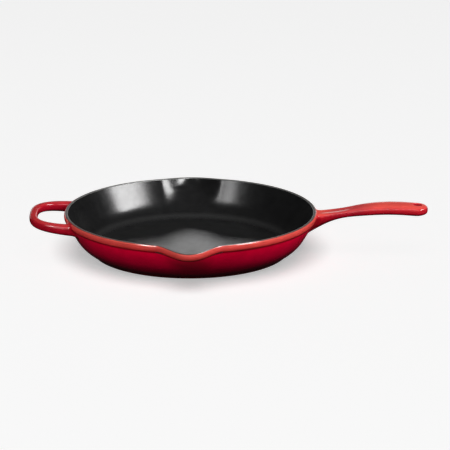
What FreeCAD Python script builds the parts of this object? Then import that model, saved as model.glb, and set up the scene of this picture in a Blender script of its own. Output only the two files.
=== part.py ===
import FreeCAD, Part
import math
import os

# Enamelled cast iron skillet with one long handle, one loop helper handle and two pour spouts.
# Millimetres. +Z is up, +X runs towards the tip of the long handle.
# The origin is the centre of the flat underside, so the skillet stands on the plane z = 0.
#
# The iron is a single casting. It is divided here at its natural sections: the floor, the side
# wall, the long handle and the helper handle. The fired enamel is a real layer of its own on
# every surface, so each coat is a thin solid that meets the iron, and its neighbours, face to face.

# ---- driving dimensions: bowl ----
ENAMEL = 0.4                # fired thickness of every enamel coat
FLOOR_TOP = 4.6             # height of the cooking surface
FLOOR_RADIUS = 96.0         # flat part of the floor, where the curve up to the wall starts
FOOT_RADIUS = 102.6         # outside of the flat foot that the skillet stands on
FOOT_HEIGHT = 2.1           # height of the small step between the foot and the wall
FOOT_EDGE = 0.7             # rounding of the foot's bottom edge
HEEL_RADIUS = 37.7          # curve of the outer wall just above the foot
HEEL_CENTRE = (87.5, 36.4)  # centre of that curve: distance from the axis, height
HEEL_START = 25.0           # slope where that curve leaves the foot, degrees from level
WALL_SLOPE = 60.0           # slope of the straight wall, degrees from level
GROOVE_HEIGHT = 35.2        # shallow groove under the rim bead
LIP_CENTRE = (129.7, 38.9)  # centre of the rim bead's section
LIP_HALF_WIDTH = 2.3        # the rim's outside radius is the sum of these two
LIP_HALF_HEIGHT = 3.7
LIP_SQUARENESS = 2.8        # 2 would be an ellipse, larger is squarer
INNER_CORNER = 20.0         # radius of the curve between the floor and the inner wall

# ---- driving dimensions: pour spouts ----
SPOUT_ANGLES = (-90.0, 90.0)
SPOUT_HALF_ANGLE = 15.6     # half of the arc of rim that each spout takes up, degrees
SPOUT_REACH = 16.0          # how far the rim is drawn outwards
SPOUT_DROP = 4.4            # how far the rim dips
SPOUT_SWELL = 0.22          # how much larger the rim bead's section is there
SWELL_HEIGHTS = (32.0, 38.0)  # the swelling starts and is full at these heights
SPOUT_START_HEIGHT = 9.0    # the wall below this height stays round

# ---- driving dimensions: long handle ----
# Stations along the handle: distance from the pan's axis, centre height, half width, half thickness.
LONG_STATIONS = (
    (112.0, 25.8, 14.5, 12.7),
    (121.0, 29.3, 14.0, 11.3),
    (128.0, 32.1, 13.2, 9.7),
    (135.0, 34.5, 12.3, 7.9),
    (143.5, 37.2, 11.0, 6.0),
    (152.0, 39.3, 10.2, 4.8),
    (160.0, 40.8, 10.0, 4.3),
    (168.5, 42.2, 10.7, 4.4),
    (177.0, 43.4, 11.8, 4.8),
    (193.5, 45.1, 13.0, 5.2),
    (210.5, 45.6, 13.4, 5.3),
    (227.0, 44.8, 13.2, 5.5),
)
LONG_TIP_CENTRE = (235.0, 44.0)   # centre of the round end: distance from the axis, height
LONG_TIP_RADIUS = 12.9
LONG_TIP_HALF_THICKNESS = 5.5
LONG_TIP_ROUNDING = 0.55    # 1 would bring the end to a sharp edge, less keeps it blunt
LONG_TIP_LAST_TURN = 86.0   # the round end stops just short of a point, at a tiny flat
LONG_SQUARENESS = 3.0
LONG_ROOT_TAPER = 0.45      # how much narrower the underside is than the top, at the wall
LONG_TAPER_END = 165.0      # distance from the axis where the section is even again
DISH_DEPTH = 1.8            # shallow thumb dish in the top of the handle
DISH_START = (122.0, 140.0)  # the dish deepens between these distances from the axis
DISH_END = (150.0, 188.0)   # and runs out between these
HOLE_CENTRE_X = 236.6       # hanging hole
HOLE_RADIUS = 5.0

# ---- driving dimensions: helper handle ----
LOOP_ROOT_X = -118.0        # where the loop's two legs start, inside the wall
LOOP_LENGTH = 45.8          # from there to the middle of the bar at the tip
LOOP_HALF_SPAN = 44.0       # from the centre line to the middle of each leg
LOOP_SQUARENESS = 2.9       # plan of the loop, 2 would be an ellipse
LOOP_ROOT_HEIGHT = 33.8
LOOP_TIP_HEIGHT = 37.8
LOOP_LEG_HALF_WIDTH = 6.4
LOOP_TIP_HALF_WIDTH = 4.2
LOOP_LEG_HALF_THICKNESS = 5.9
LOOP_TIP_HALF_THICKNESS = 4.4
LOOP_SECTION_SQUARENESS = 2.8

# ---- fineness of the curved surfaces ----
POLES_AROUND_PAN = 144
PAN_SECTORS = 12
HANDLE_SECTORS = 4
SEAM_ANGLE = 15.0           # where the first sector begins, clear of the handles and spouts
POLES_AROUND_HANDLE = 28
LOOP_SECTIONS = 25
LONG_TIP_SECTIONS = 7
CUBIC = 3


def smooth_step(fraction):
    """Rise from 0 to 1 with no slope at either end."""
    held = min(max(fraction, 0.0), 1.0)
    return held * held * (3.0 - 2.0 * held)


def signed_power(value, exponent):
    return math.copysign(abs(value) ** exponent, value)


def squared_ellipse(half_width, half_height, squareness, degrees):
    """Point on an ellipse whose corners are filled out by squareness."""
    angle = math.radians(degrees)
    across = half_width * signed_power(math.cos(angle), 2.0 / squareness)
    up = half_height * signed_power(math.sin(angle), 2.0 / squareness)
    return across, up


def between(start, end, share):
    return start + (end - start) * share


def steps(start, end, count):
    """Evenly spaced values, both ends included."""
    return [between(start, end, index / (count - 1)) for index in range(count)]


# ---- the pan's section: (distance from the axis, height) points on the enamel surface ----

def heel_point(slope_degrees):
    slope = math.radians(slope_degrees)
    across = HEEL_CENTRE[0] + HEEL_RADIUS * math.sin(slope)
    up = HEEL_CENTRE[1] - HEEL_RADIUS * math.cos(slope)
    return across, up


def foot_outline():
    """Flat foot, its rounded edge and the small step up to the wall."""
    return [
        (FLOOR_RADIUS, 0.0),
        (FOOT_RADIUS - 2.0 * FOOT_EDGE, 0.0),
        (FOOT_RADIUS - FOOT_EDGE / 2.0, 0.0),
        (FOOT_RADIUS, FOOT_EDGE / 2.0),
        (FOOT_RADIUS, 0.8 * FOOT_HEIGHT),
        (FOOT_RADIUS + FOOT_EDGE, FOOT_HEIGHT),
    ]


def outer_wall_outline():
    """Curved heel, straight wall, groove and the outside of the rim bead."""
    outline = [(FOOT_RADIUS + FOOT_EDGE, FOOT_HEIGHT)]
    outline += [heel_point(slope) for slope in steps(HEEL_START, WALL_SLOPE, 7)]
    wall_start = heel_point(WALL_SLOPE)
    run = math.tan(math.radians(90.0 - WALL_SLOPE))
    for height in steps(wall_start[1], GROOVE_HEIGHT, 6)[1:]:
        outline.append((wall_start[0] + run * (height - wall_start[1]), height))
    outline += [lip_point(degrees) for degrees in (-50.0, -30.0, 0.0, 30.0, 50.0)]
    return outline


def lip_point(degrees):
    across, up = squared_ellipse(LIP_HALF_WIDTH, LIP_HALF_HEIGHT, LIP_SQUARENESS, degrees)
    return LIP_CENTRE[0] + across, LIP_CENTRE[1] + up


def rim_outline():
    """Over the top of the bead, from its outer shoulder to its inner one."""
    return [lip_point(degrees) for degrees in (50.0, 65.0, 80.0, 90.0, 100.0, 115.0, 130.0)]


def inner_outline():
    """Inner wall and the curve down to the floor."""
    rim_inside = lip_point(130.0)
    slope = math.radians(WALL_SLOPE)
    corner_centre = (FLOOR_RADIUS, FLOOR_TOP + INNER_CORNER)
    wall_foot = (
        corner_centre[0] + INNER_CORNER * math.sin(slope),
        corner_centre[1] - INNER_CORNER * math.cos(slope),
    )
    outline = [rim_inside]
    for share in (0.05, 0.2, 0.4, 0.6, 0.8, 1.0):
        across = between(rim_inside[0], wall_foot[0], share)
        up = between(rim_inside[1], wall_foot[1], share)
        outline.append((across, up))
    for degrees in steps(WALL_SLOPE, 0.0, 7)[1:]:
        turn = math.radians(degrees)
        across = corner_centre[0] + INNER_CORNER * math.sin(turn)
        up = corner_centre[1] - INNER_CORNER * math.cos(turn)
        outline.append((across, up))
    return outline


def inset_outlines(outlines, distance):
    """The same outlines, moved into the iron. Neighbours keep sharing their end points."""
    joined = list(outlines[0])
    for outline in outlines[1:]:
        joined += outline[1:]
    moved = []
    last = len(joined) - 1
    for index, (across, up) in enumerate(joined):
        before = joined[max(index - 1, 0)]
        after = joined[min(index + 1, last)]
        run, rise = after[0] - before[0], after[1] - before[1]
        length = math.hypot(run, rise)
        moved.append((across - distance * rise / length, up + distance * run / length))
    result = []
    start = 0
    for outline in outlines:
        result.append(moved[start:start + len(outline)])
        start += len(outline) - 1
    return result


# ---- surfaces ----

def spout_share(degrees):
    """1 in the middle of a spout, 0 away from it."""
    for middle in SPOUT_ANGLES:
        away = abs((degrees - middle + 180.0) % 360.0 - 180.0)
        if away < SPOUT_HALF_ANGLE:
            return math.cos(math.radians(90.0 * away / SPOUT_HALF_ANGLE)) ** 2
    return 0.0


def pan_pole(across, up, degrees):
    """Pole of the pan's surface: a ring drawn out and down at the spouts, its bead swollen there."""
    spout = spout_share(degrees)
    swell_start, swell_end = SWELL_HEIGHTS
    swell = SPOUT_SWELL * spout * smooth_step((up - swell_start) / (swell_end - swell_start))
    rim_top = LIP_CENTRE[1] + LIP_HALF_HEIGHT
    share = spout * smooth_step((up - SPOUT_START_HEIGHT) / (rim_top - SPOUT_START_HEIGHT))
    angle = math.radians(degrees)
    step = 2.0 * math.pi / POLES_AROUND_PAN
    to_curve = 3.0 / (2.0 + math.cos(step))   # poles lie this much outside their cubic ring
    distance = across + swell * (across - LIP_CENTRE[0]) + SPOUT_REACH * share
    height = up + swell * (up - LIP_CENTRE[1]) - SPOUT_DROP * share
    return FreeCAD.Vector(
        distance * to_curve * math.cos(angle), distance * to_curve * math.sin(angle), height
    )


def sectors(count, poles_around):
    """Start and end of each equal stretch of a closed ring, counted in poles."""
    size = poles_around // count
    return [(index * size, (index + 1) * size) for index in range(count)]


def closed_band(rings, count):
    """Faces through rings of poles: closed round each ring, clamped from first to last."""
    around = len(rings[0])
    across_degree = min(CUBIC, len(rings) - 1)
    inner_knots = len(rings) - across_degree - 1
    last_knot = inner_knots + 1
    poles = [[ring[index] for ring in rings] for index in range(around)]
    whole = Part.BSplineSurface()
    whole.buildFromPolesMultsKnots(
        poles,
        [1] * (around + 1),
        [across_degree + 1] + [1] * inner_knots + [across_degree + 1],
        list(range(around + 1)),
        list(range(last_knot + 1)),
        True,
        False,
        CUBIC,
        across_degree,
    )
    faces = []
    for start, end in sectors(count, around):
        stretch = whole.copy()
        stretch.segment(start, end, 0, last_knot)
        faces.append(stretch.toShape())
    return faces


def flat_end(ring, count):
    """Flat face inside one ring of poles, with the same edges as the band that starts there."""
    whole = Part.BSplineCurve()
    whole.buildFromPolesMultsKnots(
        ring, [1] * (len(ring) + 1), list(range(len(ring) + 1)), True, CUBIC
    )
    edges = []
    for start, end in sectors(count, len(ring)):
        stretch = whole.copy()
        stretch.segment(start, end)
        edges.append(stretch.toShape())
    return Part.Face(Part.Wire(edges))


def pan_ring(point):
    step = 360.0 / POLES_AROUND_PAN
    turns = [SEAM_ANGLE + index * step for index in range(POLES_AROUND_PAN)]
    return [pan_pole(point[0], point[1], degrees) for degrees in turns]


def pan_band(outline):
    return closed_band([pan_ring(point) for point in outline], PAN_SECTORS)


def pan_disc(point):
    return flat_end(pan_ring(point), PAN_SECTORS)


def solid_of(faces):
    shell = Part.makeShell(faces)
    shell.sewShape()
    solid = Part.makeSolid(Part.Shell(shell.Faces))
    if solid.Volume < 0.0:
        solid.reverse()
    return solid


def closed_tube(rings):
    """Solid through rings of poles, with a flat face at each end."""
    ends = [flat_end(ring, HANDLE_SECTORS) for ring in (rings[0], rings[-1])]
    return solid_of(closed_band(rings, HANDLE_SECTORS) + ends)


def largest_solid(shape):
    return max(shape.Solids, key=lambda solid: solid.Volume)


# ---- handles ----

def long_taper(distance):
    start = LONG_STATIONS[0][0]
    return LONG_ROOT_TAPER * (1.0 - smooth_step((distance - start) / (LONG_TAPER_END - start)))


def dish_depth(distance):
    deepening = smooth_step((distance - DISH_START[0]) / (DISH_START[1] - DISH_START[0]))
    running_out = smooth_step((distance - DISH_END[0]) / (DISH_END[1] - DISH_END[0]))
    return DISH_DEPTH * deepening * (1.0 - running_out)


def long_ring(distance, height, half_width, half_thickness):
    """Section of the long handle: dished on top, and narrower underneath near the wall."""
    taper = long_taper(distance)
    depth = dish_depth(distance)
    ring = []
    for index in range(POLES_AROUND_HANDLE):
        degrees = 360.0 * index / POLES_AROUND_HANDLE
        across, up = squared_ellipse(1.0, 1.0, LONG_SQUARENESS, degrees)
        hollow = depth * max(1.0 - across * across, 0.0) ** 1.5 * smooth_step(up / 0.8)
        across *= half_width * (1.0 - taper * (1.0 - up) / 2.0)
        ring.append(FreeCAD.Vector(distance, across, height + half_thickness * up - hollow))
    return ring


def long_handle_body(inset):
    """The long handle's whole outer shape, from inside the wall to its round end."""
    rings = []
    for distance, height, half_width, half_thickness in LONG_STATIONS:
        rings.append(long_ring(distance, height, half_width - inset, half_thickness - inset))
    for degrees in steps(0.0, LONG_TIP_LAST_TURN, LONG_TIP_SECTIONS):
        turn = math.radians(degrees)
        distance = LONG_TIP_CENTRE[0] + (LONG_TIP_RADIUS - inset) * math.sin(turn)
        half_width = (LONG_TIP_RADIUS - inset) * math.cos(turn)
        half_thickness = (LONG_TIP_HALF_THICKNESS - inset) * math.cos(turn) ** LONG_TIP_ROUNDING
        rings.append(long_ring(distance, LONG_TIP_CENTRE[1], half_width, half_thickness))
    return closed_tube(rings)


def hanging_hole(radius):
    below = FreeCAD.Vector(HOLE_CENTRE_X, 0.0, 0.0)
    return Part.makeCylinder(radius, 2.0 * LONG_TIP_CENTRE[1], below)


def loop_middle(degrees):
    """Middle line of the helper handle's bar, and the share of the way out to its tip."""
    out, side = squared_ellipse(LOOP_LENGTH, LOOP_HALF_SPAN, LOOP_SQUARENESS, degrees)
    share = out / LOOP_LENGTH
    height = between(LOOP_ROOT_HEIGHT, LOOP_TIP_HEIGHT, share)
    return FreeCAD.Vector(LOOP_ROOT_X - out, side, height), share


def loop_ring(degrees, inset):
    """Section of the loop's bar, square to its middle line seen from above."""
    middle, share = loop_middle(degrees)
    before = loop_middle(max(degrees - 0.5, -90.0))[0]
    after = loop_middle(min(degrees + 0.5, 90.0))[0]
    along = after.sub(before)
    length = math.hypot(along.x, along.y)
    half_width = between(LOOP_LEG_HALF_WIDTH, LOOP_TIP_HALF_WIDTH, share) - inset
    half_thickness = between(LOOP_LEG_HALF_THICKNESS, LOOP_TIP_HALF_THICKNESS, share) - inset
    ring = []
    for index in range(POLES_AROUND_HANDLE):
        turn = 360.0 * index / POLES_AROUND_HANDLE
        across, up = squared_ellipse(half_width, half_thickness, LOOP_SECTION_SQUARENESS, turn)
        sideways = FreeCAD.Vector(-along.y * across / length, along.x * across / length, up)
        ring.append(middle.add(sideways))
    return ring


def helper_handle_body(inset):
    """The whole loop, both legs starting inside the wall."""
    return closed_tube([loop_ring(degrees, inset) for degrees in steps(-90.0, 90.0, LOOP_SECTIONS)])


# ---- the sub-parts ----

def section_curve(outline):
    """The outline as the same cubic curve that its band of surface has, in the plane y = 0."""
    inner_knots = len(outline) - CUBIC - 1
    curve = Part.BSplineCurve()
    curve.buildFromPolesMultsKnots(
        [FreeCAD.Vector(across, 0.0, up) for across, up in outline],
        [CUBIC + 1] + [1] * inner_knots + [CUBIC + 1],
        list(range(inner_knots + 2)),
        False,
        CUBIC,
    )
    return curve.toShape()


def round_bowl(outlines):
    """Solid of the bowl away from its spouts, filled in and taken up past the rim."""
    foot, wall = outlines[0], outlines[1]
    start, shoulder = foot[0], wall[-1]
    closing = [
        (shoulder[0], shoulder[1]),
        (shoulder[0], 2.0 * shoulder[1]),
        (0.0, 2.0 * shoulder[1]),
        (0.0, start[1]),
        (start[0], start[1]),
    ]
    lines = Part.makePolygon([FreeCAD.Vector(across, 0.0, up) for across, up in closing])
    section = Part.Wire([section_curve(foot), section_curve(wall)] + lines.Edges)
    axis = FreeCAD.Vector(0.0, 0.0, 1.0)
    bowl = Part.Face(section).revolve(FreeCAD.Vector(), axis, 360.0)
    bowl.rotate(FreeCAD.Vector(), axis, SEAM_ANGLE)
    return bowl


def bowl_parts(coat, iron):
    """Floor and wall castings and the coats on them, from the section's outlines."""
    coat_bands = [pan_band(outline) for outline in coat]
    iron_bands = [pan_band(outline) for outline in iron]
    underside = pan_disc(coat[0][0])
    floor_bottom = pan_disc(iron[0][0])
    floor_top = pan_disc(iron[3][-1])
    cooking_face = pan_disc(coat[3][-1])
    floor_edge = pan_band([iron[0][0], iron[3][-1]])
    foot_inside = pan_band([coat[0][0], iron[0][0]])
    seams = [pan_band([iron[index][-1], coat[index][-1]]) for index in range(3)]
    return {
        "floor_casting": solid_of([floor_bottom, floor_top] + floor_edge),
        "wall_casting": solid_of(sum(iron_bands, floor_edge)),
        "underside_enamel": solid_of([underside, floor_bottom] + foot_inside),
        "foot_ring_enamel": solid_of(coat_bands[0] + iron_bands[0] + foot_inside + seams[0]),
        "outer_wall_enamel": solid_of(coat_bands[1] + iron_bands[1] + seams[0] + seams[1]),
        "rim_enamel": solid_of(coat_bands[2] + iron_bands[2] + seams[1] + seams[2]),
        "cooking_surface_enamel": solid_of(
            [cooking_face, floor_top] + coat_bands[3] + iron_bands[3] + seams[2]
        ),
    }


def main():
    os.makedirs("parts", exist_ok=True)
    coat = [foot_outline(), outer_wall_outline(), rim_outline(), inner_outline()]
    iron = inset_outlines(coat, ENAMEL)
    parts = bowl_parts(coat, iron)
    bare_bowl = round_bowl(iron)
    coated_bowl = round_bowl(coat)
    long_iron = long_handle_body(ENAMEL).cut(hanging_hole(HOLE_RADIUS + ENAMEL))
    long_coated = long_handle_body(0.0).cut(hanging_hole(HOLE_RADIUS))
    loop_iron = helper_handle_body(ENAMEL)
    loop_coated = helper_handle_body(0.0)
    roots = [long_iron, loop_iron]
    parts["outer_wall_enamel"] = largest_solid(parts["outer_wall_enamel"].cut(roots))
    parts["long_handle_casting"] = largest_solid(long_iron.cut(bare_bowl))
    parts["long_handle_enamel"] = largest_solid(long_coated.cut(coated_bowl).cut(long_iron))
    parts["helper_handle_casting"] = largest_solid(loop_iron.cut(bare_bowl))
    parts["helper_handle_enamel"] = largest_solid(loop_coated.cut(coated_bowl).cut(loop_iron))
    for name, shape in parts.items():
        shape.exportStep("parts/" + name + ".step")
        print(name, shape.isValid(), len(shape.Solids), round(shape.Volume / 1000.0, 2), "cm3")


main()
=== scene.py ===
import math
from collections import namedtuple

import bmesh
import bpy
import numpy as np
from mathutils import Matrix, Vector


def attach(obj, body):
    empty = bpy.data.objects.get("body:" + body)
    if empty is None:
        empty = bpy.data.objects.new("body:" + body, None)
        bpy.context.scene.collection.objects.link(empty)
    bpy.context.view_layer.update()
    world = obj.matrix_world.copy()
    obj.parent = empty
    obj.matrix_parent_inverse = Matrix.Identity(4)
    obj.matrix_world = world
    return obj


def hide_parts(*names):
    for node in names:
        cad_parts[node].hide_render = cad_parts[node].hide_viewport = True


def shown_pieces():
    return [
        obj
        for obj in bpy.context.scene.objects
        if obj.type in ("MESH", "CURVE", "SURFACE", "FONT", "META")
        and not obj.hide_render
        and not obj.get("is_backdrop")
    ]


# Enamelled cast iron skillet, in metres, in the CAD model's own frame: the underside stands on
# z = 0, +X runs to the tip of the long handle, and the pour spouts are at -Y and +Y.
# The castings are hidden by their enamel on the real skillet and here. Every enamel coat is built
# again from its section as a finer mesh, and each replaces its own CAD node.

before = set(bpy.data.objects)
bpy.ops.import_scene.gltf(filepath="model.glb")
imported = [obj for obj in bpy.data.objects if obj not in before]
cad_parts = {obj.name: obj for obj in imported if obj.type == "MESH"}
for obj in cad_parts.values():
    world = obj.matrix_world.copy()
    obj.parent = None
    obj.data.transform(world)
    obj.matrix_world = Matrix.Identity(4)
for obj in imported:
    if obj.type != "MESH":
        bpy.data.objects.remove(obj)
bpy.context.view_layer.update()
scene = bpy.context.scene
MM = 0.001
ALONG = "along"                  # attribute: share of the way along a section or a tube
CAP = "cap"                      # attribute: 1 on the faces that close a root for a while
WHITE = (1.0, 1.0, 1.0, 1.0)

# ---- bowl: millimetres, and degrees for angles and slopes ----
# The inner corner is rounder than the CAD model's, and the rim bead a little fuller.
FLOOR_TOP = 4.6
FLOOR_RADIUS = 96.0
FOOT_RADIUS = 102.6
FOOT_HEIGHT = 2.1
FOOT_EDGE = 0.7
HEEL_RADIUS = 37.7
HEEL_CENTRE = (87.5, 36.4)
HEEL_START = 25.0
WALL_SLOPE = 60.0
WALL_TOP = (129.5, 33.7)
GROOVE_STEP = 0.4                # how far the groove under the rim bead steps out
GROOVE_RADIUS = 1.3
LIP_CENTRE = (129.7, 38.9)
LIP_HALF_WIDTH = 2.5
LIP_HALF_HEIGHT = 3.7
LIP_SQUARENESS = 2.1
LIP_OUTER_EDGE = 50.0            # where the dark band starts round the bead's section, 90 is its top
LIP_INNER_EDGE = 130.0           # where the dark band ends and the cooking surface starts
LIP_UNDERSIDE = (-68.0, -50.0, -30.0, 0.0, 30.0)    # from the groove up to the dark band
SHOULDER_HEIGHT = 42.0           # outer shoulder of the rim bead, which no handle's fillet passes
INNER_FLOOR_RADIUS = 89.2
INNER_CORNER = 30.0
OUTER_WALL_SHARES = (0.25, 0.5, 0.75, 0.93, 1.0)
INNER_WALL_SHARES = (0.05, 0.2, 0.4, 0.6, 0.8, 1.0)

# ---- spouts ----
SPOUT_ANGLES = (-90.0, 90.0)
SPOUT_HALF_ANGLE = 15.6
SPOUT_REACH = 15.7
SPOUT_DROP = 4.3
SPOUT_SWELL = 0.22               # how much larger the rim bead is at the spouts
SPOUT_START_HEIGHT = 9.0
SWELL_HEIGHTS = (32.0, 38.0)
INNER_SWELL_HEIGHTS = (16.0, 40.0)

# ---- long handle: distance from the axis, height, half width, half thickness ----
LONG_STATIONS = (
    (112.0, 25.8, 14.5, 12.7),
    (121.0, 29.3, 14.0, 11.3),
    (128.0, 32.1, 13.2, 9.7),
    (135.0, 34.5, 12.3, 7.9),
    (143.5, 37.2, 11.0, 6.0),
    (152.0, 39.3, 10.2, 4.8),
    (160.0, 40.8, 10.0, 4.3),
    (168.5, 42.2, 10.7, 4.4),
    (177.0, 43.4, 11.8, 4.8),
    (193.5, 45.1, 13.0, 5.2),
    (210.5, 45.6, 13.4, 5.3),
    (227.0, 44.8, 13.2, 5.5),
)
LONG_TIP_CENTRE = (235.0, 44.0)
LONG_TIP_RADIUS = 12.9
LONG_TIP_HALF_THICKNESS = 5.5
LONG_TIP_ROUNDING = 0.55
LONG_SQUARENESS = 3.0
LONG_ROOT_TAPER = 0.45           # how much narrower the root is below than above
LONG_TAPER_END = 165.0
LONG_FILLET = 6.0                # hollow where the handle grows out of the wall
DISH_DEPTH = 1.8
DISH_START = (122.0, 140.0)
DISH_END = (150.0, 188.0)
DISH_FALLOFF = 1.5
DISH_TOP = 0.8                   # share of the half thickness above which the dish is full
HOLE_CENTRE_X = 236.6
HOLE_RADIUS = 5.0
HOLE_EDGE = 1.0                  # rounding of the hole's two edges
HOLE_SLOPE = -0.09               # rise of the handle's faces past the hole
HOLE_CUTTER_REACH = 15.0

# ---- helper handle ----
LOOP_ROOT_X = -118.0
LOOP_LENGTH = 45.8
LOOP_HALF_SPAN = 44.0
LOOP_SQUARENESS = 2.9
LOOP_ROOT_HEIGHT = 33.8
LOOP_TIP_HEIGHT = 37.8
LOOP_LEG_HALF_WIDTH = 6.4
LOOP_TIP_HALF_WIDTH = 4.2
LOOP_LEG_HALF_THICKNESS = 5.9
LOOP_TIP_HALF_THICKNESS = 4.4
LOOP_SECTION_SQUARENESS = 2.8
LOOP_FILLET = 4.5

# ---- enamel ----
COAT = 0.4                       # fired thickness
ENAMEL_ROUGHNESS = (0.08, 0.16)
ENAMEL_TONE = (0.9, 1.06)        # slight clouds in the colour
ENAMEL_WAVE = 0.05               # relief of the fired surface, and a finer one on it
ENAMEL_FINE_WAVE = 0.005
ENAMEL_IOR = 1.5
NOISE_SPAN = (0.3, 0.7)          # values that most of a noise lies between

# ---- fineness of the meshes ----
AROUND = 480
ARC_POLES = 8
RIM_POLES = 9
CURVE_SAMPLES = 400
OUTER_WALL_POINTS = 150
RIM_POINTS = 14
INNER_WALL_POINTS = 56
FLOOR_POINTS = 30
FOOT_POINTS = 16
UNDERSIDE_POINTS = 24
TUBE_ROWS = 170
TUBE_SAMPLES = 1000
FILLET_ROWS = 14
HANDLE_AROUND = 112
TIP_STATIONS = 9
HOLE_AROUND = 72
HOLE_EDGE_POINTS = 9
SHARP_EDGE = 50.0                # shading breaks at edges that turn more than this

# ---- camera: the view of the whole skillet from the front, a little above ----
CAMERA_ELEVATION = 16.2
CAMERA_DISTANCE = 3.0
CAMERA_TARGET = (0.0360, 0.0, 0.02705)
LENS = 229.4
SENSOR = 36.0

# ---- studio: metres, degrees and radiance. Azimuth 0 is on the +X side and 90 behind ----
# group is what a light falls on. matt and gloss say which reflections it shows in.
LIGHT_TARGET = (0.0, 0.0, 0.03)
Softbox = namedtuple("Softbox", "name azimuth elevation distance width height radiance group matt gloss")
SOFTBOXES = (
    Softbox("main_softbox", -17.0, 35.0, 4.0, 2.25, 1.0, 20.0, "skillet", True, True),
    Softbox("front_softbox", -132.0, 34.5, 4.0, 0.72, 0.8, 32.0, "skillet", True, True),
    Softbox("back_softbox", 90.0, 17.8, 1.2, 0.10, 0.17, 8.0, "interior", False, True),
    Softbox("back_sweep", 90.0, 5.0, 3.0, 5.0, 0.5, 0.9, "outside", True, True),
    Softbox("overhead_softbox", 90.0, 72.0, 2.2, 2.6, 2.6, 1.5, "skillet", True, False),
    Softbox("front_fill", -88.0, 9.0, 3.0, 5.0, 0.8, 2.5, "skillet", True, False),
    Softbox("front_strip", -90.0, 7.0, 3.0, 5.0, 0.45, 1.3, "outside", True, True),
    Softbox("lip_sparkle_left", -138.0, 41.0, 4.0, 1.0, 1.4, 24.0, "lip", False, True),
    Softbox("lip_sparkle_right", -27.0, 38.0, 4.0, 1.9, 1.2, 26.0, "lip", False, True),
    Softbox("lip_sparkle_top", 10.0, 66.0, 3.0, 1.0, 0.8, 22.0, "lip", False, True),
    Softbox("ridge_light", -78.0, 43.0, 4.0, 2.0, 0.4, 9.0, "handles", False, True),
    Softbox("rear_fill", 90.0, 9.0, 3.0, 5.0, 0.8, 1.6, "outside", True, False),
    Softbox("side_window", -127.0, 38.0, 4.0, 3.2, 3.6, 2.2, "handles", False, True),
    Softbox("floor_softbox", -90.0, 76.0, 8.0, 7.0, 9.0, 2.5, "floor", True, False),
)
LIGHT_GROUPS = {
    "interior": ("cooking_surface_coat",),
    "handles": ("long_handle_coat", "helper_handle_coat"),
    "outside": ("outer_wall_coat", "rim_coat", "long_handle_coat", "helper_handle_coat"),
    "lip": ("outer_wall_coat", "rim_coat"),
    "floor_shade": ("outer_wall_coat", "foot_ring_coat"),
    "floor": ("studio_floor",),
}
FLOOR_SIZE = 12.0
FLOOR_COLOUR = (0.8, 0.8, 0.8, 1.0)
FLOOR_GLOW = 0.46
BACKGROUND = 0.91
ROOM_STOPS = ((0.10, 0.006), (0.45, 0.007), (0.75, 0.011), (1.00, 0.030))    # upwards, radiance


# ---- lines and curves ----

def smooth_step(value, start, end):
    held = np.clip((value - start) / (end - start), 0.0, 1.0)
    return held * held * (3.0 - 2.0 * held)


def signed_power(value, exponent):
    return np.sign(value) * np.abs(value) ** exponent


def squared_ellipse(half_width, half_height, squareness, degrees):
    angle = np.radians(degrees)
    across = half_width * signed_power(np.cos(angle), 2.0 / squareness)
    up = half_height * signed_power(np.sin(angle), 2.0 / squareness)
    return across, up


def full_turn(count):
    """Even angles all the way round, in degrees."""
    return np.arange(count) * 360.0 / count


def between(start, end, shares):
    """Points on the straight line from start to end."""
    start, end = np.array(start), np.array(end)
    return [tuple(start + share * (end - start)) for share in shares]


def arc_point(centre, radius, slope_degrees):
    """Point of an arc that bulges down and outwards, where the arc rises at this slope."""
    slope = math.radians(slope_degrees)
    return centre[0] + radius * math.sin(slope), centre[1] - radius * math.cos(slope)


def spline(poles, count):
    """Points on the clamped cubic curve that has these poles."""
    poles = np.asarray(poles, float)
    last = len(poles) - 3
    knots = np.concatenate([[0.0] * 3, np.arange(last + 1.0), [float(last)] * 3])
    places = np.linspace(0.0, last, count)
    spans = np.minimum(places.astype(int), last - 1) + 3
    points = [poles[spans - 3 + step] for step in range(4)]
    for level in range(1, 4):
        for step in range(3, level - 1, -1):
            low = knots[spans - 3 + step]
            high = knots[spans + 1 + step - level]
            share = ((places - low) / (high - low))[:, None]
            points[step] = (1.0 - share) * points[step - 1] + share * points[step]
    return points[3]


def lengths_along(points):
    """How far along the line each of its points is."""
    return np.concatenate([[0.0], np.cumsum(np.linalg.norm(np.diff(points, axis=0), axis=1))])


def points_at(points, along, places):
    """Points of the line at these distances along it."""
    return np.stack([np.interp(places, along, column) for column in points.T], axis=-1)


def evenly(points, count, measured=None):
    """The same line with evenly spaced points. The spacing counts the first measured columns, or all."""
    along = lengths_along(points[:, :measured])
    return points_at(points, along, np.linspace(0.0, along[-1], count))


def smooth_outline(poles, count):
    return evenly(spline(poles, CURVE_SAMPLES), count)


# ---- sections of the bowl, as (distance from the axis, height) ----

def lip_point(degrees):
    across, up = squared_ellipse(LIP_HALF_WIDTH, LIP_HALF_HEIGHT, LIP_SQUARENESS, degrees)
    return LIP_CENTRE[0] + across, LIP_CENTRE[1] + up


def outer_wall_outline():
    slopes = np.linspace(HEEL_START, WALL_SLOPE, ARC_POLES)
    poles = [(FOOT_RADIUS + FOOT_EDGE, FOOT_HEIGHT)]
    poles += [arc_point(HEEL_CENTRE, HEEL_RADIUS, slope) for slope in slopes]
    poles += between(poles[-1], WALL_TOP, OUTER_WALL_SHARES)
    poles.append((WALL_TOP[0] + GROOVE_STEP, WALL_TOP[1] + GROOVE_RADIUS))
    poles += [lip_point(degrees) for degrees in (*LIP_UNDERSIDE, LIP_OUTER_EDGE)]
    return smooth_outline(poles, OUTER_WALL_POINTS)


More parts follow.
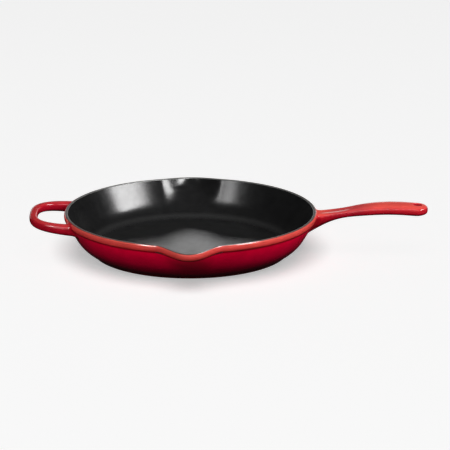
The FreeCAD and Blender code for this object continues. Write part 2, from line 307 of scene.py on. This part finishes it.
def rim_outline():
    poles = [lip_point(degrees) for degrees in np.linspace(LIP_OUTER_EDGE, LIP_INNER_EDGE, RIM_POLES)]
    return smooth_outline(poles, RIM_POINTS)


def inner_outline():
    start = lip_point(LIP_INNER_EDGE)
    centre = (INNER_FLOOR_RADIUS, FLOOR_TOP + INNER_CORNER)
    slopes = np.linspace(WALL_SLOPE, 0.0, ARC_POLES)
    corner = [arc_point(centre, INNER_CORNER, slope) for slope in slopes]
    poles = [start] + between(start, corner[0], INNER_WALL_SHARES) + corner[1:]
    wall = smooth_outline(poles, INNER_WALL_POINTS)
    floor = [(radius, FLOOR_TOP) for radius in np.linspace(INNER_FLOOR_RADIUS, 0.0, FLOOR_POINTS)[1:]]
    return np.concatenate([wall, floor])


def foot_outline():
    poles = [
        (FLOOR_RADIUS, 0.0),
        (FOOT_RADIUS - 2.0 * FOOT_EDGE, 0.0),
        (FOOT_RADIUS - FOOT_EDGE / 2.0, 0.0),
        (FOOT_RADIUS, FOOT_EDGE / 2.0),
        (FOOT_RADIUS, 0.8 * FOOT_HEIGHT),
        (FOOT_RADIUS + FOOT_EDGE, FOOT_HEIGHT),
    ]
    return smooth_outline(poles, FOOT_POINTS)


def underside_outline():
    return np.array([(radius, 0.0) for radius in np.linspace(0.0, FLOOR_RADIUS, UNDERSIDE_POINTS)])


def spout_share(degrees):
    """1 in the middle of each spout and 0 away from it."""
    share = np.zeros_like(degrees)
    for middle in SPOUT_ANGLES:
        away = np.abs((degrees - middle + 180.0) % 360.0 - 180.0)
        bump = np.cos(np.radians(90.0 * np.minimum(away / SPOUT_HALF_ANGLE, 1.0))) ** 2
        share = np.maximum(share, bump)
    return share


def turned(outline, swell_heights):
    """Grid of points: the outline turned about the axis, drawn out and down at the spouts."""
    degrees = full_turn(AROUND)
    across = outline[:, 0][:, None]
    up = outline[:, 1][:, None]
    spout = spout_share(degrees)
    swell_up = SPOUT_SWELL * spout * smooth_step(up, *SWELL_HEIGHTS)
    swell_across = SPOUT_SWELL * spout * smooth_step(up, *swell_heights)
    share = spout * smooth_step(up, SPOUT_START_HEIGHT, LIP_CENTRE[1] + LIP_HALF_HEIGHT)
    distance = across + swell_across * (across - LIP_CENTRE[0]) + SPOUT_REACH * share
    angle = np.radians(degrees)
    points = np.empty((len(outline), AROUND, 3))
    points[:, :, 0] = distance * np.cos(angle)
    points[:, :, 1] = distance * np.sin(angle)
    points[:, :, 2] = up + swell_up * (up - LIP_CENTRE[1]) - SPOUT_DROP * share
    return points


# ---- meshes ----

def grid_mesh(name, points, pole_rows=()):
    """Mesh of a grid that closes round each row. A pole row is a single point.

    Each point keeps its share of the way from the first row to the last.
    """
    rows, around = points.shape[:2]
    index = np.arange(rows * around).reshape(rows, around)
    for row in pole_rows:
        index[row] = index[row, 0]
    following = np.roll(index, -1, axis=1)
    quads = np.stack([index[:-1], following[:-1], following[1:], index[1:]], axis=-1).reshape(-1, 4)
    mesh = bpy.data.meshes.new(name)
    faces = [list(dict.fromkeys(quad)) for quad in quads.tolist()]
    mesh.from_pydata((points.reshape(-1, 3) * MM).tolist(), [], faces)
    along = mesh.attributes.new(ALONG, "FLOAT", "POINT")
    along.data.foreach_set("value", np.repeat(np.linspace(0.0, 1.0, rows), around))
    mesh.update()
    mesh.shade_smooth()
    piece = bpy.data.objects.new(name, mesh)
    scene.collection.objects.link(piece)
    drop_loose_points(mesh)
    return piece


def drop_loose_points(mesh):
    shape = bmesh.new()
    shape.from_mesh(mesh)
    loose = [point for point in shape.verts if not point.link_faces]
    bmesh.ops.delete(shape, geom=loose, context="VERTS")
    shape.to_mesh(mesh)
    shape.free()


def apply_modifiers(piece):
    graph = bpy.context.evaluated_depsgraph_get()
    finished = bpy.data.meshes.new_from_object(piece.evaluated_get(graph))
    old = piece.data
    piece.modifiers.clear()
    piece.data = finished
    bpy.data.meshes.remove(old)


def thicken(piece):
    """Give the surface the coat's thickness, inwards, with crisp edges."""
    solid = piece.modifiers.new("coat", "SOLIDIFY")
    solid.thickness = COAT * MM
    solid.offset = -1.0
    solid.use_rim = True
    apply_modifiers(piece)
    piece.data.set_sharp_from_angle(angle=math.radians(SHARP_EDGE))


# ---- handles ----

def long_sections():
    """Distance, height, half width and half thickness, evenly along the long handle."""
    stations = list(LONG_STATIONS)
    for turn in np.radians(np.linspace(0.0, 90.0, TIP_STATIONS)):
        stations.append((
            LONG_TIP_CENTRE[0] + LONG_TIP_RADIUS * math.sin(turn),
            LONG_TIP_CENTRE[1],
            LONG_TIP_RADIUS * math.cos(turn),
            LONG_TIP_HALF_THICKNESS * math.cos(turn) ** LONG_TIP_ROUNDING,
        ))
    return evenly(spline(stations, TUBE_SAMPLES), TUBE_ROWS, measured=3)


def long_rings():
    """The long handle's surface, from inside the wall to the round end."""
    distance, height, half_width, half_thickness = [column[:, None] for column in long_sections().T]
    unit_across, unit_up = squared_ellipse(1.0, 1.0, LONG_SQUARENESS, full_turn(HANDLE_AROUND))
    taper = LONG_ROOT_TAPER * (1.0 - smooth_step(distance, LONG_STATIONS[0][0], LONG_TAPER_END))
    dish = DISH_DEPTH * smooth_step(distance, *DISH_START) * (1.0 - smooth_step(distance, *DISH_END))
    dish_share = (1.0 - np.minimum(unit_across ** 2, 1.0)) ** DISH_FALLOFF
    points = np.empty((TUBE_ROWS, HANDLE_AROUND, 3))
    points[:, :, 0] = distance
    points[:, :, 1] = half_width * unit_across * (1.0 - taper * (1.0 - unit_up) / 2.0)
    points[:, :, 2] = height + half_thickness * unit_up
    points[:, :, 2] -= dish * dish_share * smooth_step(unit_up, 0.0, DISH_TOP)
    return points


def loop_line():
    """Middle line of one half of the helper handle in plan, as (outwards, sideways)."""
    degrees = np.linspace(90.0, 0.0, TUBE_SAMPLES)
    line = np.stack(squared_ellipse(LOOP_LENGTH, LOOP_HALF_SPAN, LOOP_SQUARENESS, degrees), axis=1)
    return evenly(line, TUBE_ROWS)


def loop_directions(line):
    """Which way the helper handle runs at each point, as (x, y). It ends along -Y."""
    ahead = np.gradient(line, axis=0) * (-1.0, 1.0)
    ahead[0] = ahead[1]
    ahead[-1] = (0.0, -1.0)
    return ahead / np.linalg.norm(ahead, axis=1)[:, None]


def loop_rings():
    """Surface of one half of the helper handle, from inside the wall at +Y to its middle."""
    line = loop_line()
    out, side = line[:, :1], line[:, 1:]
    ahead = loop_directions(line)
    share = out / LOOP_LENGTH
    unit_across, unit_up = squared_ellipse(1.0, 1.0, LOOP_SECTION_SQUARENESS, full_turn(HANDLE_AROUND))
    half_width = LOOP_LEG_HALF_WIDTH + (LOOP_TIP_HALF_WIDTH - LOOP_LEG_HALF_WIDTH) * share
    thinning = LOOP_TIP_HALF_THICKNESS - LOOP_LEG_HALF_THICKNESS
    half_thickness = LOOP_LEG_HALF_THICKNESS + thinning * share
    height = LOOP_ROOT_HEIGHT + (LOOP_TIP_HEIGHT - LOOP_ROOT_HEIGHT) * share
    points = np.empty((TUBE_ROWS, HANDLE_AROUND, 3))
    points[:, :, 0] = LOOP_ROOT_X - out - ahead[:, 1:] * half_width * unit_across
    points[:, :, 1] = side + ahead[:, :1] * half_width * unit_across
    points[:, :, 2] = height + half_thickness * unit_up
    return points


def mirrored_loop(half):
    """The whole loop from the half that ends in the middle of its bar."""
    other = half[::-1][1:] * (1.0, -1.0, 1.0)
    return np.concatenate([half, other])


def wall_radius(height):
    """Outside of the bowl's enamel at a height, away from the spouts."""
    outline = outer_wall_outline()
    return np.interp(height, outline[:, 1], outline[:, 0])


def wall_crossings(rings):
    """Where each line along the tube comes out of the wall, and its first row outside."""
    outside = np.hypot(rings[:, :, 0], rings[:, :, 1]) - wall_radius(rings[:, :, 2])
    first_rows = np.argmax(outside > 0.0, axis=0)
    columns = np.arange(rings.shape[1])
    before = outside[first_rows - 1, columns]
    after = outside[first_rows, columns]
    share = (before / (before - after))[:, None]
    inner, outer = rings[first_rows - 1, columns], rings[first_rows, columns]
    return inner + share * (outer - inner), first_rows


def fillet_start(crossing, middle, fillet):
    """Point on the wall that lies further from the root's middle than the crossing does."""
    away = crossing - middle
    start = crossing + fillet * away / np.linalg.norm(away)
    start[2] = min(start[2], SHOULDER_HEIGHT)
    start[:2] *= wall_radius(start[2]) / np.hypot(start[0], start[1])
    return start


def rooted(rings, fillet):
    """Start the tube on the bowl's wall, with a hollow fillet all round its root."""
    crossings, first_rows = wall_crossings(rings)
    middle = crossings.mean(axis=0)
    blend = np.linspace(0.0, 1.0, FILLET_ROWS)[:, None]
    result = np.empty_like(rings)
    for column, (crossing, first_row) in enumerate(zip(crossings, first_rows)):
        line = np.concatenate([[crossing], rings[first_row:, column]])
        along = lengths_along(line)
        start = fillet_start(crossing, middle, fillet)
        end = points_at(line, along, fillet)
        curve = (1.0 - blend) ** 2 * start + 2.0 * blend * (1.0 - blend) * crossing + blend ** 2 * end
        places = np.linspace(fillet, along[-1], len(rings) - FILLET_ROWS + 1)[1:]
        result[:, column] = np.concatenate([curve, points_at(line, along, places)])
    return result


# ---- hanging hole ----

def hole_outline():
    """Section of the hole: straight in the middle, with both edges rounded over."""
    widest = HOLE_RADIUS + HOLE_EDGE
    upper = [
        (widest - HOLE_EDGE * math.cos(turn), LONG_TIP_HALF_THICKNESS + HOLE_EDGE * (math.sin(turn) - 1.0))
        for turn in np.radians(np.linspace(0.0, 90.0, HOLE_EDGE_POINTS))
    ]
    upper += [(widest, HOLE_CUTTER_REACH), (0.0, HOLE_CUTTER_REACH)]
    lower = [(radius, -height) for radius, height in reversed(upper)]
    return np.array(lower + upper)


def hole_cutter():
    """Solid in the shape of the hole, sheared to follow the handle's slope."""
    outline = hole_outline()
    angle = np.radians(full_turn(HOLE_AROUND))
    away = outline[:, :1] * np.cos(angle)
    points = np.empty((len(outline), HOLE_AROUND, 3))
    points[:, :, 0] = HOLE_CENTRE_X + away
    points[:, :, 1] = outline[:, :1] * np.sin(angle)
    points[:, :, 2] = LONG_TIP_CENTRE[1] + outline[:, 1:] + HOLE_SLOPE * away
    return grid_mesh("hole_cutter", points, pole_rows=(0, len(outline) - 1))


def add_cap(piece):
    """Close the tube's open root, and mark the faces that close it."""
    shape = bmesh.new()
    shape.from_mesh(piece.data)
    open_edges = [edge for edge in shape.edges if edge.is_boundary]
    marked = shape.faces.layers.int.new(CAP)
    for face in bmesh.ops.holes_fill(shape, edges=open_edges)["faces"]:
        face[marked] = 1
    shape.to_mesh(piece.data)
    shape.free()


def remove_cap(piece):
    shape = bmesh.new()
    shape.from_mesh(piece.data)
    marked = shape.faces.layers.int[CAP]
    caps = [face for face in shape.faces if face[marked] == 1]
    bmesh.ops.delete(shape, geom=caps, context="FACES")
    shape.to_mesh(piece.data)
    shape.free()


def cut_hole(piece):
    """Cut the hole while the tube is closed, as the cut needs a closed solid."""
    add_cap(piece)
    cutter = hole_cutter()
    cut = piece.modifiers.new("hole", "BOOLEAN")
    cut.operation = "DIFFERENCE"
    cut.object = cutter
    cut.solver = "EXACT"
    apply_modifiers(piece)
    bpy.data.objects.remove(cutter)
    remove_cap(piece)
    piece.data.shade_smooth()


# ---- materials ----

class Nodes:
    """Short ways to add nodes to a node tree."""

    def __init__(self, tree):
        self.tree = tree

    def add(self, kind, **settings):
        node = self.tree.nodes.new(kind)
        for key, value in settings.items():
            setattr(node, key, value)
        return node

    def feed(self, socket, value):
        if isinstance(value, bpy.types.NodeSocket):
            self.tree.links.new(value, socket)
        else:
            socket.default_value = value

    def upward(self, vector):
        """How far the vector points up."""
        split = self.add("ShaderNodeSeparateXYZ")
        self.feed(split.inputs[0], vector)
        return split.outputs["Z"]

    def ramp(self, value, stops):
        """Colour that runs through these (value, colour) stops."""
        node = self.add("ShaderNodeValToRGB")
        self.feed(node.inputs["Fac"], value)
        elements = node.color_ramp.elements
        while len(elements) < len(stops):
            elements.new(0.5)
        for element, (position, colour) in zip(elements, stops):
            element.position = position
            element.color = (*colour, 1.0)
        return node.outputs["Color"]


class Recipe(Nodes):
    """A new material. Noise sizes and reliefs are in millimetres."""

    def __init__(self, name):
        self.material = bpy.data.materials.new(name)
        self.material.use_nodes = True
        super().__init__(self.material.node_tree)
        self.shader = self.tree.nodes["Principled BSDF"]
        self.place = self.add("ShaderNodeTexCoord").outputs["Object"]

    def surface(self, name, value):
        self.feed(self.shader.inputs[name], value)

    def sum(self, first, second):
        node = self.add("ShaderNodeMath", operation="ADD")
        self.feed(node.inputs[0], first)
        self.feed(node.inputs[1], second)
        return node.outputs[0]

    def noise(self, size, detail=2.0):
        node = self.add("ShaderNodeTexNoise")
        self.feed(node.inputs["Vector"], self.place)
        self.feed(node.inputs["Scale"], 1.0 / (size * MM))
        self.feed(node.inputs["Detail"], detail)
        return node.outputs["Fac"]

    def rescale(self, value, low, high, new_low, new_high):
        node = self.add("ShaderNodeMapRange")
        self.feed(node.inputs["Value"], value)
        self.feed(node.inputs["From Min"], low)
        self.feed(node.inputs["From Max"], high)
        self.feed(node.inputs["To Min"], new_low)
        self.feed(node.inputs["To Max"], new_high)
        return node.outputs["Result"]

    def varied(self, noise, low, high):
        """Value that drifts between low and high with the noise."""
        return self.rescale(noise, *NOISE_SPAN, low, high)

    def mix(self, factor, first, second, blend="MIX"):
        node = self.add("ShaderNodeMix", data_type="RGBA", blend_type=blend)
        self.feed(node.inputs[0], factor)
        self.feed(node.inputs[6], first)
        self.feed(node.inputs[7], second)
        return node.outputs[2]

    def along(self):
        return self.add("ShaderNodeAttribute", attribute_name=ALONG).outputs["Fac"]

    def facing_up(self):
        """0 on faces that point down, 1 on faces that point up. The handles' colours use it to paint light
        on top and shade underneath.
        """
        normal = self.add("ShaderNodeTexCoord").outputs["Normal"]
        return self.rescale(self.upward(normal), -1.0, 1.0, 0.0, 1.0)

    def relief(self, height, depth, under=None):
        node = self.add("ShaderNodeBump")
        self.feed(node.inputs["Distance"], depth * MM)
        self.feed(node.inputs["Height"], height)
        if under is not None:
            self.feed(node.inputs["Normal"], under)
        return node.outputs["Normal"]


def glossy_enamel(name, colour_of):
    """Glassy coloured enamel, with faint clouds and the slight wave of a fired surface."""
    recipe = Recipe(name)
    colour = colour_of(recipe)
    clouds = recipe.varied(recipe.noise(14.0), *ENAMEL_TONE)
    tone = recipe.add("ShaderNodeCombineColor")
    for channel in range(3):
        recipe.feed(tone.inputs[channel], clouds)
    recipe.surface("Base Color", recipe.mix(1.0, colour, tone.outputs[0], "MULTIPLY"))
    recipe.surface("Roughness", recipe.varied(recipe.noise(9.0), *ENAMEL_ROUGHNESS))
    wave = recipe.relief(recipe.noise(5.0, 1.0), ENAMEL_WAVE)
    recipe.surface("Normal", recipe.relief(recipe.noise(1.2, 1.0), ENAMEL_FINE_WAVE, wave))
    recipe.surface("IOR", ENAMEL_IOR)
    return recipe.material


def wall_colour(recipe):
    """Near black at the foot, through crimson up the wall, to orange-red on the rim bead: the enamel's own
    fade, darkened towards the foot by painted shade on the downward-facing wall, with a dark stop of
    painted shade in the groove under the bead.
    """
    return recipe.ramp(recipe.along(), [
        # the low stops hold the enamel's darker fade and painted shade on the wall that faces down
        (0.00, (0.045, 0.0002, 0.0040)),
        (0.10, (0.060, 0.0002, 0.0060)),
        (0.35, (0.230, 0.0003, 0.0170)),
        (0.60, (0.640, 0.0003, 0.0330)),
        (0.80, (1.000, 0.0003, 0.0450)),
        # painted shade in the groove under the rim bead
        (0.845, (0.300, 0.0020, 0.0100)),
        (0.89, (0.680, 0.0420, 0.0400)),
        (1.00, (0.700, 0.0850, 0.0680)),
    ])


def long_handle_colour(recipe):
    """Crimson, with painted light and shade: orange-red on faces turned up, darker crimson on faces turned
    down, and painted shade over the dished neck.
    """
    # painted light on top and painted shade underneath, set by which way each face turns
    colour = recipe.ramp(recipe.facing_up(), [
        (0.05, (0.200, 0.0010, 0.0060)),
        (0.40, (0.500, 0.0060, 0.0180)),
        (0.70, (0.600, 0.0250, 0.0320)),
        (1.00, (0.640, 0.0720, 0.0560)),
    ])
    # painted shade darkening the dished neck near the root
    painted_neck_shade = recipe.ramp(recipe.along(), [
        (0.10, (1.00, 1.00, 1.00)),
        (0.20, (0.78, 0.72, 0.95)),
        (0.38, (0.78, 0.72, 0.95)),
        (0.55, (1.00, 1.00, 1.00)),
    ])
    return recipe.mix(1.0, colour, painted_neck_shade, "MULTIPLY")


def helper_handle_colour(recipe):
    """Deeper crimson than the long handle: a shaded copy of the same red enamel, painted shade over the
    whole loop, lighter on faces turned up and darker on faces turned down.
    """
    # painted light on top and painted shade underneath, and darker overall as painted shade
    return recipe.ramp(recipe.facing_up(), [
        (0.05, (0.150, 0.0006, 0.0060)),
        (0.40, (0.400, 0.0030, 0.0160)),
        (0.70, (0.440, 0.0100, 0.0220)),
        (1.00, (0.420, 0.0260, 0.0300)),
    ])


def satin_black():
    """Satin interior enamel: smoother on the wall, finely matt on the floor, with a painted reflection as
    a paler band where they meet.
    """
    recipe = Recipe("satin_black_enamel")
    clouds = recipe.ramp(recipe.noise(10.0), [
        (0.3, (0.0078, 0.0078, 0.0080)),
        (0.7, (0.0108, 0.0108, 0.0110)),
    ])
    # painted reflection: a paler band round the corner between wall and floor
    corner = recipe.ramp(recipe.along(), [
        (0.43, (0.0, 0.0, 0.0)),
        (0.49, (1.0, 1.0, 1.0)),
        (0.57, (0.0, 0.0, 0.0)),
    ])
    recipe.surface("Base Color", recipe.mix(corner, clouds, (0.020, 0.020, 0.020, 1.0)))
    satin = recipe.rescale(recipe.along(), 0.50, 0.66, 0.22, 0.37)
    recipe.surface("Roughness", recipe.sum(satin, recipe.varied(recipe.noise(6.0), -0.02, 0.02)))
    recipe.surface("Normal", recipe.relief(recipe.noise(2.8, 1.0), 0.022))
    return recipe.material


def rim_dark():
    """Dark grey band on the bead's top, that warms to the red at its outer shoulder, with a painted
    highlight as a paler grey line on its inner edge.
    """
    recipe = Recipe("rim_enamel_dark")
    recipe.surface("Base Color", recipe.ramp(recipe.along(), [
        (0.00, (0.700, 0.0850, 0.0680)),
        (0.05, (0.560, 0.0700, 0.0560)),
        (0.14, (0.180, 0.0620, 0.0500)),
        (0.25, (0.085, 0.0680, 0.0620)),
        (0.75, (0.060, 0.0580, 0.0560)),
        # painted highlight on the bead's inner rounded edge
        (0.88, (0.120, 0.1200, 0.1160)),
        (1.00, (0.020, 0.0200, 0.0200)),
    ]))
    matt = recipe.rescale(recipe.along(), 0.10, 0.40, 0.12, 0.36)
    recipe.surface("Roughness", recipe.sum(matt, recipe.varied(recipe.noise(3.0), -0.03, 0.03)))
    recipe.surface("Normal", recipe.relief(recipe.noise(2.2, 1.0), 0.015))
    return recipe.material


def base_dark():
    """Thin dark enamel under the base, a little worn in patches."""
    recipe = Recipe("base_enamel_dark")
    worn = recipe.noise(6.0, 4.0)
    recipe.surface("Base Color", recipe.ramp(worn, [
        (0.35, (0.030, 0.0030, 0.0035)),
        (0.70, (0.060, 0.0060, 0.0060)),
    ]))
    recipe.surface("Roughness", recipe.varied(worn, 0.22, 0.4))
    recipe.surface("Normal", recipe.relief(recipe.noise(3.5, 1.0), 0.06))
    return recipe.material


def cast_iron():
    """Bare sand-cast iron, under the enamel."""
    recipe = Recipe("cast_iron_bare")
    grain = recipe.noise(1.1, 6.0)
    recipe.surface("Base Color", recipe.ramp(grain, [
        (0.3, (0.045, 0.043, 0.042)),
        (0.7, (0.110, 0.105, 0.100)),
    ]))
    recipe.surface("Metallic", 0.7)
    recipe.surface("Roughness", recipe.varied(grain, 0.6, 0.8))
    recipe.surface("Normal", recipe.relief(grain, 0.15))
    return recipe.material


# ---- pieces ----

def finish_piece(piece, node, material):
    thicken(piece)
    piece.data.materials.clear()
    piece.data.materials.append(material)
    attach(piece, "root")
    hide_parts(node)


def bowl_piece(name, outline, pole_rows=(), swell_heights=SWELL_HEIGHTS):
    return grid_mesh(name, turned(outline, swell_heights), pole_rows)


def build_bowl():
    outer_wall = bowl_piece("outer_wall_coat", outer_wall_outline())
    finish_piece(outer_wall, "outer_wall_enamel", glossy_enamel("red_enamel_wall", wall_colour))
    finish_piece(bowl_piece("rim_coat", rim_outline()), "rim_enamel", rim_dark())
    inner = inner_outline()
    cooking_surface = bowl_piece("cooking_surface_coat", inner, (len(inner) - 1,), INNER_SWELL_HEIGHTS)
    finish_piece(cooking_surface, "cooking_surface_enamel", satin_black())


def build_base():
    dark = base_dark()
    finish_piece(bowl_piece("foot_ring_coat", foot_outline()), "foot_ring_enamel", dark)
    underside = bowl_piece("underside_coat", underside_outline(), pole_rows=(0,))
    finish_piece(underside, "underside_enamel", dark)


def build_long_handle():
    handle = grid_mesh("long_handle_coat", rooted(long_rings(), LONG_FILLET), pole_rows=(TUBE_ROWS - 1,))
    cut_hole(handle)
    red = glossy_enamel("red_enamel_long_handle", long_handle_colour)
    finish_piece(handle, "long_handle_enamel", red)


def build_helper_handle():
    handle = grid_mesh("helper_handle_coat", mirrored_loop(rooted(loop_rings(), LOOP_FILLET)))
    red = glossy_enamel("red_enamel_helper_handle_shaded", helper_handle_colour)
    finish_piece(handle, "helper_handle_enamel", red)


def dress_castings():
    iron = cast_iron()
    for name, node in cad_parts.items():
        if name.endswith("_casting"):
            node.data.materials.clear()
            node.data.materials.append(iron)


# ---- studio ----

def direction(azimuth, elevation):
    turn, rise = math.radians(azimuth), math.radians(elevation)
    return Vector((math.cos(turn) * math.cos(rise), math.sin(turn) * math.cos(rise), math.sin(rise)))


def light_group(name, members):
    group = bpy.data.collections.new(name)
    for member in members:
        group.objects.link(member)


def build_softbox(box):
    """Rectangular light that faces the skillet and falls on its group only."""
    light = bpy.data.lights.new(box.name, "AREA")
    light.shape = "RECTANGLE"
    light.size = box.width
    light.size_y = box.height
    light.energy = box.radiance * math.pi * box.width * box.height
    lamp = bpy.data.objects.new(box.name, light)
    away = direction(box.azimuth, box.elevation)
    lamp.location = Vector(LIGHT_TARGET) + away * box.distance
    lamp.rotation_euler = away.to_track_quat("Z", "Y").to_euler()
    lamp.visible_camera = False
    lamp.visible_diffuse = box.matt
    lamp.visible_glossy = box.gloss
    lamp.light_linking.receiver_collection = bpy.data.collections[box.group]
    if box.group == "floor":
        lamp.light_linking.blocker_collection = bpy.data.collections["floor_shade"]
    scene.collection.objects.link(lamp)


def build_floor():
    """Pale floor that glows a little. The skillet neither mirrors it nor is lit by it."""
    half = FLOOR_SIZE / 2.0
    mesh = bpy.data.meshes.new("studio_floor")
    corners = [(-half, -half, 0.0), (half, -half, 0.0), (half, half, 0.0), (-half, half, 0.0)]
    mesh.from_pydata(corners, [], [(0, 1, 2, 3)])
    recipe = Recipe("studio_floor_pale")
    recipe.surface("Base Color", FLOOR_COLOUR)
    recipe.surface("Roughness", 1.0)
    recipe.surface("Specular IOR Level", 0.0)
    recipe.surface("Emission Color", WHITE)
    recipe.surface("Emission Strength", FLOOR_GLOW)
    mesh.materials.append(recipe.material)
    floor = bpy.data.objects.new("studio_floor", mesh)
    floor.visible_glossy = False
    floor.visible_diffuse = False
    scene.collection.objects.link(floor)
    floor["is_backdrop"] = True


def build_world():
    """Dim room, lighter overhead. The camera sees it as pale as the floor."""
    world = bpy.data.worlds.new("studio")
    scene.world = world
    world.use_nodes = True
    nodes = Nodes(world.node_tree)
    height = nodes.upward(nodes.add("ShaderNodeTexCoord").outputs["Generated"])
    room = nodes.ramp(height, [(position, (radiance,) * 3) for position, radiance in ROOM_STOPS])
    seen = nodes.add("ShaderNodeMix")
    nodes.feed(seen.inputs[0], nodes.add("ShaderNodeLightPath").outputs["Is Camera Ray"])
    nodes.feed(seen.inputs[2], room)
    nodes.feed(seen.inputs[3], BACKGROUND)
    background = world.node_tree.nodes["Background"]
    nodes.feed(background.inputs["Color"], WHITE)
    nodes.feed(background.inputs["Strength"], seen.outputs[0])


def build_camera():
    data = bpy.data.cameras.new("camera")
    data.lens = LENS
    data.sensor_width = SENSOR
    camera = bpy.data.objects.new("camera", data)
    back = direction(-90.0, CAMERA_ELEVATION)
    camera.location = Vector(CAMERA_TARGET) + back * CAMERA_DISTANCE
    camera.rotation_euler = back.to_track_quat("Z", "Y").to_euler()
    scene.collection.objects.link(camera)
    scene.camera = camera


build_camera()
build_bowl()
build_base()
build_long_handle()
build_helper_handle()
dress_castings()
build_floor()
build_world()
light_group("skillet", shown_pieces())
for group_name, member_names in LIGHT_GROUPS.items():
    light_group(group_name, [bpy.data.objects[name] for name in member_names])
for softbox in SOFTBOXES:
    build_softbox(softbox)
scene.view_settings.view_transform = "Standard"
